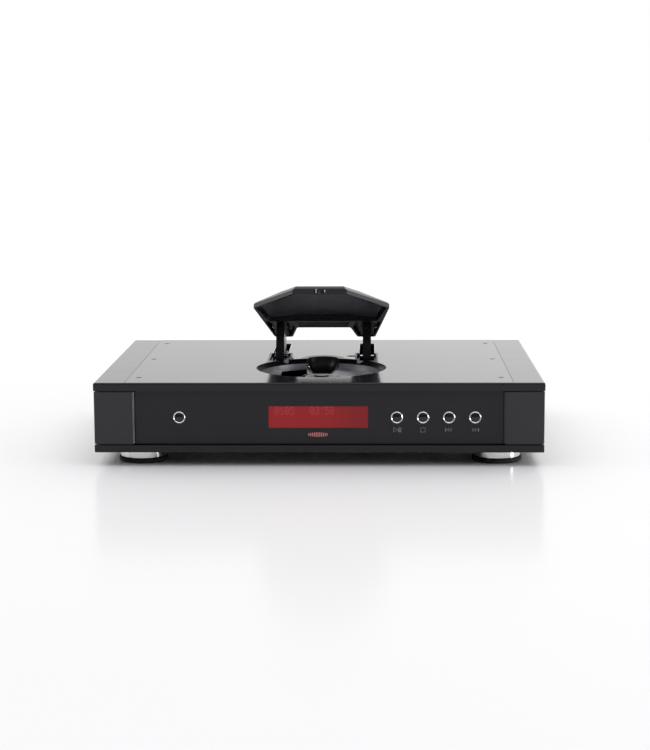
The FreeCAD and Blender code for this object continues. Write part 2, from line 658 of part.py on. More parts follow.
def laser_sled():
    r = SLED_REST_R
    z0, z1 = SLED_Z
    body = sled_box(r - 8, r + 8, -23, 23, z0, z1)
    tower = turned([(0, z1 - 1), (4.0, z1 - 1), (4.0, 64.5), (3.2, 65.5), (3.2, 70.8), (0, 70.8)])
    tower.translate(along(r, 0, 0))
    body = fuse([body, tower])
    cuts = []
    for side in (-ROD_SIDE, ROD_SIDE):
        cuts.append(Part.makeCylinder(1.55, 40, along(r - 20, side, ROD_Z), sled_dir()))
    cuts.append(Part.makeCylinder(1.9, 40, along(r - 20, SCREW_SIDE, ROD_Z), sled_dir()))
    lens_spot = along(r, 0, 0)
    cuts.append(rod(2.4, lens_spot.x, lens_spot.y, 69.6, 3))
    return body.cut(Part.makeCompound(cuts))


def laser_lens():
    spot = along(SLED_REST_R, 0, 0)
    lens = turned([(0, 69.6), (2.35, 69.6), (2.35, 71.0), (1.5, 71.6), (0, 71.8)])
    lens.translate(spot)
    return lens


def lead_screw():
    profile = [(0, 0), (1.0, 0), (1.0, 4.4), (1.5, 4.6)]
    for k in range(37):
        h = 5.0 + 1.5 * k
        profile += [(1.5, h), (1.2, h + 0.35), (1.2, h + 0.75), (1.5, h + 1.1)]
    profile += [(1.5, 61.4), (1.0, 61.6), (1.0, 72.0), (0, 72.0)]
    screw = turned(profile)
    turn = FreeCAD.Rotation(Z_AXIS, sled_dir())
    screw.Placement = FreeCAD.Placement(along(10.6, SCREW_SIDE, ROD_Z), turn)
    return screw


def sled_motor():
    profile = [(1.05, 0), (6.0, 0), (6.2, 0.3), (6.2, 14.5), (5.9, 15), (0, 15), (0, 12), (1.05, 12)]
    motor = turned(profile)
    turn = FreeCAD.Rotation(Z_AXIS, sled_dir())
    motor.Placement = FreeCAD.Placement(along(79.7, SCREW_SIDE, ROD_Z), turn)
    return motor


# ---------------------------------------------------------------- lid

def opened(shape):
    shape = shape.copy()
    shape.rotate(V(0, HINGE_Y, HINGE_Z), X_AXIS, -OPEN_DEG)
    return shape


LID_Z = PLATE_Z + LID_GAP


def lid_roof(offset):
    """Faceted block that limits the lid's height: flat middle, sloping sides, lower at both ends."""
    mid = 9.8 - offset
    side = 4.4 - offset
    across = long_prism([(-80, -3 + LID_Z), (80, -3 + LID_Z), (80, side + LID_Z), (26, mid + LID_Z),
                         (-26, mid + LID_Z), (-80, side + LID_Z)], 0, 300)
    y = LID_FRONT_Y
    down = side_prism([(y - 5, -3 + LID_Z), (y + 225, -3 + LID_Z), (y + 225, 4.3 - offset + LID_Z),
                       (y + 158, mid + LID_Z), (y + 120, mid + LID_Z), (y - 5, 8.13 - offset + LID_Z)],
                      -90, 90)
    return across.common(down)


def lid_outline(points, z0, z1):
    return round_prism([(x, LID_FRONT_Y + length, r) for x, length, r in points], z0, z1)


def edge_bevel(p0, p1, start):
    """Wedge that cuts the upper outer corner off the edge from p0 to p1, from height start up."""
    a = V(p0[0], LID_FRONT_Y + p0[1], 0)
    b = V(p1[0], LID_FRONT_Y + p1[1], 0)
    run = b - a
    out = V(run.y, -run.x, 0)
    out.normalize()
    step = V(run.x, run.y, 0)
    step.normalize()
    first = a - step * 12
    pts = []
    for o, h in ((2, start - 2), (-12, start + 12), (2, start + 26)):
        pts.append(first + out * o + V(0, 0, LID_Z + h))
    return Part.Face(Part.makePolygon(pts + [pts[0]])).extrude(run + step * 24)


def lid_shell():
    sx, sl = LID_SIDE
    nx, nl = NOTCH
    fx, ox, ix, end = LID_FRONT_X, TAIL_OUT_X, TAIL_IN_X, TAIL_L
    outline = [(-fx, 0, 2), (fx, 0, 2), (sx, sl, 3), (ox, end, 3.5), (ix, end, 3.5), (nx, nl, 3),
               (-nx, nl, 3), (-ix, end, 3.5), (-ox, end, 3.5), (-sx, sl, 3)]
    body = lid_outline(outline, LID_Z, LID_Z + 14).common(lid_roof(0))
    bevels = [((-fx, 0), (fx, 0), 5.4), ((fx, 0), (sx, sl), 4.2), ((sx, sl), (ox, end), 3.4),
              ((ox, end), (ix, end), 3.2), ((-ox, end), (-sx, sl), 3.4), ((-sx, sl), (-fx, 0), 4.2),
              ((-ix, end), (-ox, end), 3.2)]
    for p0, p1, start in bevels:
        body = body.cut(edge_bevel(p0, p1, start))
    front = [(-fx + 1.4, 2.4, 1), (fx - 1.4, 2.4, 1), (sx - 2.8, sl, 1), (sx - 12, 131.5, 2),
             (-sx + 12, 131.5, 2), (-sx + 2.8, sl, 1)]
    recess = lid_outline(front, LID_Z - 1, LID_Z + 14).common(lid_roof(1.7))
    body = body.cut(recess)
    tail = [(34.5, 133.6, 1), (61.0, 133.6, 1), (ox - 1.6, end - 1.8, 2), (ix + 1.6, end - 1.8, 2),
            (nx + 2.2, nl, 1)]
    for s in (-1, 1):
        pts = [(s * x, length, r) for x, length, r in tail]
        body = body.cut(lid_outline(pts, LID_Z - 1, LID_Z + 14).common(lid_roof(1.6)))
    land = [(-28, 136, 1), (28, 136, 1), (nx - 3, nl - 2, 1), (-nx + 3, nl - 2, 1)]
    body = body.cut(lid_outline(land, LID_Z - 1, LID_Z + 1.4))
    grip = Part.makeCylinder(9, 4, V(0, LID_FRONT_Y - 6.5, LID_Z - 1))
    return body.cut(grip).removeSplitter()


def lid_liner():
    sx, sl = LID_SIDE
    fx = LID_FRONT_X
    inset = [(-fx + 2.0, 3.2, 1), (fx - 2.0, 3.2, 1), (sx - 7.0, sl, 1), (sx - 13.5, 130.5, 2),
             (-sx + 13.5, 130.5, 2), (-sx + 7.0, sl, 1)]
    outer = lid_outline(inset, LID_Z, LID_Z + 14).common(lid_roof(1.72))
    panel = outer.cut(lid_roof(2.9))
    groove = tube(10.2, 9.5, 0, LID_FRONT_Y + 124, LID_Z, 7.2)
    return panel.cut(groove).removeSplitter()


def lid_insert():
    nx, nl = NOTCH
    land = [(-27.6, 136.4, 1), (27.6, 136.4, 1), (nx - 3.3, nl - 2.4, 1), (-nx + 3.3, nl - 2.4, 1)]
    return lid_outline(land, LID_Z + 0.2, LID_Z + 1.38)


def lid_arm():
    """Right arm, drawn with the lid closed: a deep curved blade from the tail down to the hinge."""
    x0 = ARM_X - ARM_T / 2
    x1 = ARM_X + ARM_T / 2

    def disc(r):
        return Part.makeCylinder(r, ARM_T, V(x0, HINGE_Y, HINGE_Z), X_AXIS)

    top = LID_Z + 3.4
    low_a = math.radians(2 - OPEN_DEG)
    sector = disc(ARM_OUT_R).cut(disc(ARM_IN_R))
    low_y = HINGE_Y - 130 * math.cos(low_a)
    low_z = HINGE_Z + 130 * math.sin(low_a)
    keep = side_prism([(HINGE_Y, HINGE_Z), (low_y, low_z), (low_y, top), (HINGE_Y - 20, top)],
                      x0 - 1, x1 + 1)
    blade = sector.common(keep)
    neck_a = low_a + math.radians(0.5)
    neck_b = low_a + math.radians(17)
    neck = side_prism([(HINGE_Y - 56 * math.cos(neck_a), HINGE_Z + 56 * math.sin(neck_a)),
                       (HINGE_Y - 56 * math.cos(neck_b), HINGE_Z + 56 * math.sin(neck_b)),
                       (HINGE_Y, HINGE_Z + 6.5), (HINGE_Y, HINGE_Z - 6.5)], x0, x1)
    boss = Part.makeCylinder(7.0, ARM_T, V(x0, HINGE_Y, HINGE_Z), X_AXIS)
    y = LID_FRONT_Y
    rails = box(38.9, 53.6, y + 138, y + 210, LID_Z + 0.3, top)
    head = box(36.2, 56.2, y + 134.2, y + 140, LID_Z + 0.3, LID_Z + 6)
    head = head.common(lid_roof(1.65))
    rails = rails.common(lid_roof(1.65))
    arm = fuse([blade, neck, boss, rails, head])
    return arm.cut(rod(3.02, x0 - 1, HINGE_Y, HINGE_Z, ARM_T + 2, X_AXIS))


def hinge_shaft():
    return rod(3.0, -64, HINGE_Y, HINGE_Z, 128, X_AXIS)


def hinge_brackets():
    made = []
    for s in (-1, 1):
        lo, hi = sorted((s * 56.5, s * 61.5))
        ear = box(lo, hi, HINGE_Y - 9, HINGE_Y + 9, HINGE_Z - 9, PLATE_Z - PANEL_T)
        lo, hi = sorted((s * 56.5, s * 74.0))
        flange = box(lo, hi, HINGE_Y - 9, HINGE_Y + 9, PLATE_Z - PANEL_T - 2, PLATE_Z - PANEL_T)
        bracket = fuse([ear, flange])
        made.append(bracket.cut(rod(3.06, min(s * 50, s * 68), HINGE_Y, HINGE_Z, 18, X_AXIS)))
    return made


def main():
    os.makedirs("parts", exist_ok=True)
    save("top_frame", top_frame())
    save("top_panel", top_panel())
    right = side_right()
    save("side_right", right)
    save("side_left", mirrored(right))
    save("base_tray", base_tray())
    save("front_panel", front_panel())
    save("display_window", display_window())
    save("display_module", display_module())
    save("button_rings", [button_ring(x) for x in BUTTON_XS.values()])
    for name, x in BUTTON_XS.items():
        save(name, button(x))
    save("button_board", button_board())
    save("tact_switches", tact_switches())
    save("power_switch", power_switch())
    save("rear_panel", rear_panel())
    save("rca_sockets", [rca_socket(x, z) for x, z in RCA_SPOTS])
    save("optical_socket", optical_socket())
    save("mains_inlet", mains_inlet())
    save("inlet_pins", inlet_pins())
    save("main_board", main_board())
    save("board_chips", board_chips())
    save("power_capacitors", power_capacitors())
    save("signal_capacitors", signal_capacitors())
    save("heat_sink", heat_sink())
    save("transformer", transformer())
    save("transformer_clamp", transformer_clamp())
    save("transport_chassis", transport_chassis())
    save("grommets", [grommet(x, y) for x, y in DECK_POSTS])
    save("screws", screws())
    save("spindle_motor", spindle_motor())
    save("spindle_shaft", spindle_shaft())
    save("disc_hub", disc_hub())
    save("hub_ring", hub_ring())
    save("chuck_balls", chuck_balls())
    save("guide_rods", guide_rods())
    save("laser_sled", laser_sled())
    save("laser_lens", laser_lens())
    save("lead_screw", lead_screw())
    save("sled_motor", sled_motor())
    save("well_ring", well_ring())
    save("disc_dish", disc_dish())
    save("finger_scoop", finger_scoop())
    save("lid_shell", opened(lid_shell()))
    save("lid_liner", opened(lid_liner()))
    save("lid_insert", opened(lid_insert()))
    arm = lid_arm()
    save("lid_arm_right", opened(arm))
    save("lid_arm_left", opened(mirrored(arm)))
    save("hinge_shaft", hinge_shaft())
    save("hinge_brackets", hinge_brackets())
    spots = {"front_left": (-FOOT_X, FOOT_Y[0]), "front_right": (FOOT_X, FOOT_Y[0]),
             "rear_left": (-FOOT_X, FOOT_Y[1]), "rear_right": (FOOT_X, FOOT_Y[1])}
    for place, (x, y) in spots.items():
        save("foot_ring_" + place, foot_ring(x, y))
        save("foot_pad_" + place, foot_pad(x, y))


main()
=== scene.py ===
"""Looks of a top-loading CD player with its lid open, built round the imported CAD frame.

Metres. The front faces -y, the lid is hinged towards +y, and z runs up from the table.
"""
import math

import bmesh
import bpy
from mathutils import Matrix, Vector


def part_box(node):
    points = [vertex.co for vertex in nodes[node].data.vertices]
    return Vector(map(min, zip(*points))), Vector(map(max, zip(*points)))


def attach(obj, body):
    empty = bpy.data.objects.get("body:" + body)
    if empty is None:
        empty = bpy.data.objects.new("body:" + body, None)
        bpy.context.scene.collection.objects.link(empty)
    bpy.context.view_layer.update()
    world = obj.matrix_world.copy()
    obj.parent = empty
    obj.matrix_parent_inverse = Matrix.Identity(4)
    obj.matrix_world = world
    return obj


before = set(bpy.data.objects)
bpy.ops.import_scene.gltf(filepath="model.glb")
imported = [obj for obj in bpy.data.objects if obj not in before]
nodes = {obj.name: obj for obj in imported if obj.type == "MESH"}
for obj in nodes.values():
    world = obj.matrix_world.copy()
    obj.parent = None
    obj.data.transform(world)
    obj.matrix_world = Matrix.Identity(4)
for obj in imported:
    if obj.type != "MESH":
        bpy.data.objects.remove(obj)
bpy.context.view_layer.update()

MM = 0.001
scene = bpy.context.scene

# driving places and sizes; the faces come from the frame
PLATE_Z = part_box("top_panel")[1].z         # top face of the top panel
FRONT_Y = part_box("front_panel")[0].y       # face of the front panel
BACK_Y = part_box("rear_panel")[1].y         # face of the rear panel
SPINDLE_Y = -58.6 * MM
PRINT_LIFT = 0.04 * MM                     # how far print stands off its surface

BUTTONS = ("play_button", "stop_button", "previous_button", "next_button")
SYMBOL_DROP = 12.2 * MM                    # from a button's centre down to its symbol
SYMBOL_H = 4.2 * MM
SYMBOL_LINE = 0.20 * MM

MARK_BARS = 11
MARK_Z = 30.9 * MM
MARK_LEFT = -9.6 * MM                      # middle of the first bar
MARK_PITCH = 1.75 * MM
MARK_HALF_W = 0.42 * MM
MARK_HALF_H = 1.1 * MM                     # of the shortest bar; the longest has twice that

SHOWN = "0105   03:58"                     # track number and time in the display
SHOWN_AT = (9.3 * MM, 3.4 * MM)            # from the window's left and top edges
DOT_PITCH = (0.80 * MM, 1.14 * MM)
DOT = (0.58 * MM, 0.80 * MM)

SOCKETS = ((150.0 * MM, "red_nylon"), (126.0 * MM, "white_nylon"), (88.0 * MM, "amber_nylon"))
SOCKET_Z = 48 * MM
WASHER = (7.4 * MM, 5.75 * MM, 0.9 * MM)   # outer radius, inner radius, thickness
OUTLINES = ((114.5, 161.5, 36.5, 61.0), (78.5, 97.5, 36.5, 61.0), (52.5, 71.5, 36.5, 61.0))   # mm

# x places and y runs of the painted highlight lines along the arm slots' edges
SLOT_EDGE_X = (-54.2, -37.8, 37.8, 54.2)   # mm
SLOT_EDGE_RUNS = ((61.0, 118.0), (40.0, 53.0))

SCOOP_R = 16.2 * MM
SCOOP_TILT = math.radians(7.1)
SCOOP_END = Vector((0, SPINDLE_Y + 64 * MM, PLATE_Z - 1.9 * MM))
DISH_R = 60.7 * MM
DISH_RIM = 4.5 * MM                        # depths below the top face
DISH_FLOOR = 9.6 * MM
HUB_CLEAR = 18.6 * MM                      # from the spindle to where the scoop's edge ends

PAD = ((26.5 * MM, 20.5 * MM), (34.0 * MM, 24.5 * MM))
PAD_Z = (-0.1 * MM, 0.4 * MM)              # foot and top, from the top face
STUD_AT = (25.2 * MM, 22.6 * MM)
STUD_R = 1.1 * MM
STUD_FLAT = 0.45                           # the stud's height as a share of its radius

LID_RIM = (-110.0 * MM, 162.5 * MM)        # y and z of the open lid's lower front edge
LID_LEAN = math.tan(math.radians(18.7))    # how the rim's face leans back, from the lid's opening
# small bright blocks on the lid's front rim that paint the glints of light seen there
LID_GLINTS = (("lid_glint_left", -3.4 * MM, 0.8 * MM, 4.6 * MM),
             ("lid_glint_right", 5.0 * MM, 1.5 * MM, 3.8 * MM))     # middle x, foot, top
LID_GLINT_HALF_W = 0.75 * MM
LID_GLINT_DEPTH = (0.6 * MM, 0.5 * MM)      # out of the rim and into it


# ---------------------------------------------------------------- materials

MIX_LOW, MIX_HIGH, MIX_OUT = 6, 7, 2       # colour sockets of a Mix node


def tone(rgb, gain):
    return tuple(min(1.0, c * gain) for c in rgb) + (1.0,)


def ranged(tree, source, from_min, from_max, to_min, to_max, smooth=False):
    """Output of a Map Range node fed by source."""
    node = tree.nodes.new("ShaderNodeMapRange")
    if smooth:
        node.interpolation_type = "SMOOTHSTEP"
    for name, value in (("From Min", from_min), ("From Max", from_max), ("To Min", to_min),
                        ("To Max", to_max)):
        node.inputs[name].default_value = value
    tree.links.new(source, node.inputs["Value"])
    return node.outputs["Result"]


def mixed(tree, factor, low, high):
    """Mix node between two colours."""
    node = tree.nodes.new("ShaderNodeMix")
    node.data_type = "RGBA"
    node.inputs[MIX_LOW].default_value = low
    node.inputs[MIX_HIGH].default_value = high
    tree.links.new(factor, node.inputs["Factor"])
    return node


def noise(tree, vector, detail):
    node = tree.nodes.new("ShaderNodeTexNoise")
    node.inputs["Scale"].default_value = 1.0
    node.inputs["Detail"].default_value = detail
    tree.links.new(vector, node.inputs["Vector"])
    return node.outputs["Fac"]


def stretched(tree, vector, scale):
    node = tree.nodes.new("ShaderNodeMapping")
    node.inputs["Scale"].default_value = scale
    tree.links.new(vector, node.inputs["Vector"])
    return node.outputs["Vector"]


def finish(name, rgb, rough, metal=0.0, ior=1.45, vary=0.12, rough_vary=0.05, grain=(60, 60, 60),
           fine=900.0, bump=0.02, depth=0.02, glow=None, see=0.0):
    """Procedural finish: colour and roughness drift with a broad noise, bump with a fine one.

    grain is the broad noise's stretch per axis, and unequal values give a brushed direction.
    fine is the fine noise's stretch along the axis with the largest grain; the other axes keep
    their share. depth is the bump's height in mm.
    """
    mat = bpy.data.materials.new(name)
    mat.use_nodes = True
    tree = mat.node_tree
    shader = tree.nodes["Principled BSDF"]
    shader.inputs["Metallic"].default_value = metal
    shader.inputs["IOR"].default_value = ior
    shader.inputs["Transmission Weight"].default_value = see
    if glow:
        shader.inputs["Emission Color"].default_value = glow[0] + (1.0,)
        shader.inputs["Emission Strength"].default_value = glow[1]

    place = tree.nodes.new("ShaderNodeTexCoord").outputs["Object"]
    broad = noise(tree, stretched(tree, place, grain), 5.0)
    mix = mixed(tree, broad, tone(rgb, 1 - vary), tone(rgb, 1 + vary))
    tree.links.new(mix.outputs[MIX_OUT], shader.inputs["Base Color"])
    spread = ranged(tree, broad, 0.3, 0.7, max(0.02, rough - rough_vary), rough + rough_vary)
    tree.links.new(spread, shader.inputs["Roughness"])

    top = max(grain)
    small = noise(tree, stretched(tree, place, tuple(fine * g / top for g in grain)), 3.0)
    relief = tree.nodes.new("ShaderNodeBump")
    relief.inputs["Strength"].default_value = bump
    relief.inputs["Distance"].default_value = depth * MM
    tree.links.new(small, relief.inputs["Height"])
    tree.links.new(relief.outputs["Normal"], shader.inputs["Normal"])
    return mat


ROUND = (45, 45, 45)
LOOKS = {
    "anodised": finish("anodised", (0.022, 0.021, 0.026), 0.40, ior=1.5, grain=(420, 60, 22),
                       fine=5200, bump=0.16, vary=0.18),
    "frame": finish("frame", (0.010, 0.010, 0.013), 0.14, ior=1.40, grain=(30, 420, 420),
                    fine=6500, bump=0.05, depth=0.01, rough_vary=0.03),
    "plate": finish("plate", (0.016, 0.016, 0.019), 0.12, ior=1.42, grain=(40, 260, 40),
                    fine=7000, bump=0.05, depth=0.01, rough_vary=0.02, vary=0.08),
    "panel": finish("panel", (0.009, 0.009, 0.0115), 0.44, grain=ROUND, fine=2600, bump=0.05),
    "back": finish("back", (0.016, 0.016, 0.019), 0.50, grain=ROUND, fine=3200, bump=0.2,
                   depth=0.03),
    "base": finish("base", (0.008, 0.008, 0.012), 0.42, grain=ROUND, fine=2600, bump=0.08),
    "module": finish("module", (0.05, 0.012, 0.014), 0.5),
    "chrome": finish("chrome", (0.80, 0.80, 0.81), 0.24, metal=1.0, vary=0.03, fine=2000,
                     bump=0.02, rough_vary=0.03),
    "cap": finish("cap", (0.008, 0.008, 0.009), 0.16, ior=1.5, fine=1500, bump=0.01, vary=0.2),
    "board": finish("board", (0.02, 0.13, 0.055), 0.35, grain=(160, 160, 160), fine=3000, bump=0.1),
    "moulding": finish("moulding", (0.022, 0.022, 0.024), 0.5, fine=3500, bump=0.15),
    "sleeve": finish("sleeve", (0.045, 0.055, 0.10), 0.3, grain=(90, 90, 30)),
    "sink": finish("sink", (0.03, 0.03, 0.032), 0.42, metal=0.4, grain=(20, 20, 300), bump=0.1),
    "winding": finish("winding", (0.36, 0.17, 0.05), 0.34, metal=0.5, grain=(40, 40, 900),
                      fine=4000, bump=0.5, depth=0.1),
    "zinc": finish("zinc", (0.56, 0.57, 0.58), 0.32, metal=1.0, grain=(120, 30, 30), bump=0.1),
    "deck": finish("deck", (0.03, 0.03, 0.033), 0.45, grain=(120, 30, 30), bump=0.1),
    "screw": finish("screw", (0.05, 0.05, 0.055), 0.30, metal=0.8, grain=(200, 200, 200),
                    fine=4000, bump=0.1),
    "steel": finish("steel", (0.70, 0.71, 0.72), 0.20, metal=1.0, grain=(30, 30, 400), bump=0.06),
    "rubber": finish("rubber", (0.016, 0.016, 0.017), 0.72, grain=(150, 150, 150), fine=3000,
                     bump=0.3, depth=0.05, vary=0.25),
    "ring": finish("ring", (0.006, 0.006, 0.008), 0.30, ior=1.4, fine=3000, bump=0.05),
    "dish": finish("dish", (0.47, 0.46, 0.49), 0.38, metal=0.75, grain=(160, 160, 160),
                   fine=5000, bump=0.15),
    "scoop": finish("scoop", (0.024, 0.024, 0.027), 0.30, ior=1.5, fine=2000, bump=0.03),
    "hub": finish("hub", (0.085, 0.055, 0.052), 0.35, fine=2500, bump=0.05),
    "bright": finish("bright", (0.30, 0.30, 0.31), 0.34, metal=1.0, vary=0.06,
                     grain=(20, 20, 300)),
    "ball": finish("ball", (0.82, 0.82, 0.84), 0.06, metal=1.0, vary=0.02, rough_vary=0.02),
    "lens": finish("lens", (0.45, 0.55, 0.85), 0.04, ior=1.5, see=0.7, vary=0.04,
                   rough_vary=0.01, bump=0.0),
    "lid": finish("lid", (0.012, 0.012, 0.015), 0.24, ior=1.5, grain=(25, 260, 260), fine=6000,
                  bump=0.05, depth=0.01),
    "liner": finish("liner", (0.105, 0.098, 0.118), 0.36, ior=1.5, grain=(90, 90, 90), fine=4000,
                    bump=0.12),
    "insert": finish("insert", (0.004, 0.004, 0.005), 0.42, fine=3500, bump=0.08),
    "arm": finish("arm", (0.007, 0.007, 0.010), 0.26, ior=1.5, grain=(60, 60, 400), fine=4500,
                  bump=0.06),
    "foot": finish("foot", (0.82, 0.82, 0.81), 0.20, metal=1.0, vary=0.04, grain=(25, 25, 900),
                   fine=5000, bump=0.08),
    "gold": finish("gold", (0.78, 0.56, 0.22), 0.18, metal=1.0, vary=0.06, grain=(40, 300, 40)),
    # polished metal; on the slot edges, the scoop edge and the lid's front rim it paints highlights
    "painted_highlight_and_trim": finish("painted_highlight_and_trim", (0.62, 0.62, 0.64), 0.24, metal=1.0, vary=0.08, fine=3000, bump=0.04),
    "print": finish("print", (0.80, 0.80, 0.82), 0.5, fine=5000, bump=0.05),
    "faint_print": finish("faint_print", (0.30, 0.30, 0.31), 0.55, fine=5000, bump=0.05),
    # red print with a painted glow that brightens it
    "mark": finish("mark", (0.50, 0.16, 0.17), 0.45, fine=5000, bump=0.05,
                   glow=((0.30, 0.085, 0.09), 0.6)),
    "dots": finish("dots", (0.10, 0.004, 0.006), 0.3, glow=((0.36, 0.035, 0.045), 1.0)),
    "red_nylon": finish("red_nylon", (0.42, 0.018, 0.02), 0.4, fine=3000, bump=0.08),
    "white_nylon": finish("white_nylon", (0.68, 0.68, 0.66), 0.4, fine=3000, bump=0.08),
    "amber_nylon": finish("amber_nylon", (0.60, 0.26, 0.02), 0.4, fine=3000, bump=0.08),
}


def lit_window():
    """Deep red window that glows, a little dimmer towards its right end."""
    mat = finish("window", (0.05, 0.0015, 0.002), 0.34, grain=ROUND, fine=400, bump=0.01, vary=0.08)
    tree = mat.node_tree
    shader = tree.nodes["Principled BSDF"]
    place = tree.nodes.new("ShaderNodeTexCoord")
    split = tree.nodes.new("ShaderNodeSeparateXYZ")
    tree.links.new(place.outputs["Object"], split.inputs["Vector"])
    low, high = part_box("display_window")
    fade = ranged(tree, split.outputs["X"], low.x + 0.45 * (high.x - low.x), high.x, 1.0, 0.66,
                  smooth=True)
    shader.inputs["Emission Color"].default_value = (0.205, 0.0025, 0.0045, 1.0)
    tree.links.new(fade, shader.inputs["Emission Strength"])
    return mat


LOOKS["window"] = lit_window()
CORNERS = ("front_left", "front_right", "rear_left", "rear_right")
WEARS = {
    "anodised": ("side_left", "side_right"),
    "frame": ("top_frame",),
    "plate": ("top_panel",),
    "panel": ("front_panel",),
    "back": ("rear_panel",),
    "base": ("base_tray",),
    "window": ("display_window",),
    "module": ("display_module",),
    "chrome": ("button_rings",),
    "cap": ("power_button", *BUTTONS),
    "board": ("button_board", "main_board"),
    "moulding": ("tact_switches", "power_switch", "optical_socket", "mains_inlet", "board_chips",
                 "laser_sled"),
    "sleeve": ("power_capacitors", "signal_capacitors"),
    "sink": ("heat_sink",),
    "winding": ("transformer",),
    "zinc": ("transformer_clamp", "spindle_motor", "sled_motor", "hinge_brackets"),
    "deck": ("transport_chassis",),
    "screw": ("screws",),
    "steel": ("guide_rods", "lead_screw", "spindle_shaft", "hinge_shaft", "inlet_pins"),
    "rubber": ("grommets", *(f"foot_pad_{corner}" for corner in CORNERS)),
    "ring": ("well_ring",),
    "dish": ("disc_dish",),
    "scoop": ("finger_scoop",),
    "hub": ("disc_hub",),
    "bright": ("hub_ring",),
    "ball": ("chuck_balls",),
    "lens": ("laser_lens",),
    "lid": ("lid_shell",),
    "liner": ("lid_liner",),
    "insert": ("lid_insert",),
    "arm": ("lid_arm_left", "lid_arm_right"),
    "foot": tuple(f"foot_ring_{corner}" for corner in CORNERS),
    "gold": ("rca_sockets",),
}


def dress_nodes():
    """Give every CAD node its look, and stop if one has none."""
    for look, names in WEARS.items():
        for name in names:
            nodes[name].data.materials.clear()
            nodes[name].data.materials.append(LOOKS[look])
    bare = set(nodes) - {name for names in WEARS.values() for name in names}
    if bare:
        raise RuntimeError(f"no look for {sorted(bare)}")


# ---------------------------------------------------------------- detail pieces

def settle(obj, look, body):
    """Finish a piece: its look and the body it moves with."""
    obj.data.materials.append(LOOKS[look])
    scene.collection.objects.link(obj)
    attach(obj, body)
    return obj


def lines(name, paths, width, look, body, closed=False):
    """Fine beads along straight runs, such as print or a painted highlight along an edge."""
    curve = bpy.data.curves.new(name, "CURVE")
    curve.dimensions = "3D"
    curve.bevel_depth = width / 2
    curve.bevel_resolution = 1
    curve.use_fill_caps = True
    for path in paths:
        spline = curve.splines.new("POLY")
        spline.points.add(len(path) - 1)
        for point, place in zip(spline.points, path):
            point.co = (*place, 1.0)
        spline.use_cyclic_u = closed
    return settle(bpy.data.objects.new(name, curve), look, body)


def slabs(name, boxes, look, body, round_by=0.0):
    """Small blocks with eased edges as one mesh; each box is (lowest corner, highest corner)."""
    mesh = bpy.data.meshes.new(name)
    work = bmesh.new()
    for low, high in boxes:
        corners = [work.verts.new((x, y, z)) for x in (low[0], high[0]) for y in (low[1], high[1])
                   for z in (low[2], high[2])]
        for face in ((0, 1, 3, 2), (4, 6, 7, 5), (0, 4, 5, 1), (2, 3, 7, 6), (0, 2, 6, 4),
                     (1, 5, 7, 3)):
            work.faces.new([corners[i] for i in face])
    if round_by:
        bmesh.ops.bevel(work, geom=work.edges[:], offset=round_by, segments=2, affect="EDGES",
                        profile=0.5)
    bmesh.ops.recalc_face_normals(work, faces=work.faces[:])
    work.to_mesh(mesh)
    work.free()
    return settle(bpy.data.objects.new(name, mesh), look, body)


def front_path(points, x0, z0, size):
    """Points in units of the symbol's height, moved to the front panel's face."""
    return [(x0 + u * size, FRONT_Y - PRINT_LIFT, z0 + v * size) for u, v in points]


def button_symbols():
    """Play and pause, stop, and the two skips, in units of the symbol's height."""
    h = 0.5
    triangle = [(-0.75, -h), (-0.75, h), (0.15, 0.0)]
    bars = [[(u, -h), (u, h), (u + 0.2, h), (u + 0.2, -h)] for u in (0.38, 0.78)]
    square = [(-h, -h), (-h, h), (h, h), (h, -h)]
    left = [[(0.0, 0.0), (0.62, 0.36), (0.62, -0.36)], [(-0.66, 0.0), (-0.04, 0.36), (-0.04, -0.36)],
            [(-0.86, -0.36), (-0.86, 0.36), (-0.74, 0.36), (-0.74, -0.36)]]
    right = [[(-u, v) for u, v in shape] for shape in left]
    shapes = {"play_button": [triangle] + bars, "stop_button": [square],
              "previous_button": left, "next_button": right}
    for button in BUTTONS:
        low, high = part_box(button)
        centre = (low + high) / 2
        paths = [front_path(shape, centre.x, centre.z - SYMBOL_DROP, SYMBOL_H)
                 for shape in shapes[button]]
        lines(f"symbol_{button}", paths, SYMBOL_LINE, "print", "case", closed=True)


def level_mark():
    """Plain row of small upright bars under the display, longer towards the middle; red print given a
    painted glow.
    """
    boxes = []
    for k in range(MARK_BARS):
        x = MARK_LEFT + MARK_PITCH * k
        half = MARK_HALF_H * (1 + math.sin(math.pi * (k + 0.5) / MARK_BARS))
        boxes.append(((x - MARK_HALF_W, FRONT_Y - 2 * PRINT_LIFT, MARK_Z - half),
                      (x + MARK_HALF_W, FRONT_Y + PRINT_LIFT, MARK_Z + half)))
    slabs("level_mark", boxes, "mark", "case", round_by=0.02 * MM)


# five dots across in each row, seven rows
DIGITS = {
    "0": "01110 10001 10011 10101 11001 10001 01110",
    "1": "00100 01100 00100 00100 00100 00100 01110",
    "3": "01110 10001 00001 00110 00001 10001 01110",
    "5": "11111 10000 11110 00001 00001 10001 01110",
    "8": "01110 10001 10001 01110 10001 10001 01110",
    ":": "00000 00100 00000 00000 00000 00100 00000",
}


def display_digits():
    """Faint dot-matrix track number and time in the upper half of the window."""
    low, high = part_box("display_window")
    start = low.x + SHOWN_AT[0]
    top = high.z - SHOWN_AT[1]
    boxes = []
    for place, sign in enumerate(SHOWN):
        if sign == " ":
            continue
        for row, bits in enumerate(DIGITS[sign].split()):
            for column, bit in enumerate(bits):
                if bit == "1":
                    x = start + (place * 6 + column) * DOT_PITCH[0]
                    z = top - row * DOT_PITCH[1]
                    boxes.append(((x, low.y - 0.5 * PRINT_LIFT, z - DOT[1]),
                                  (x + DOT[0], low.y + PRINT_LIFT, z)))
    slabs("display_digits", boxes, "dots", "case")


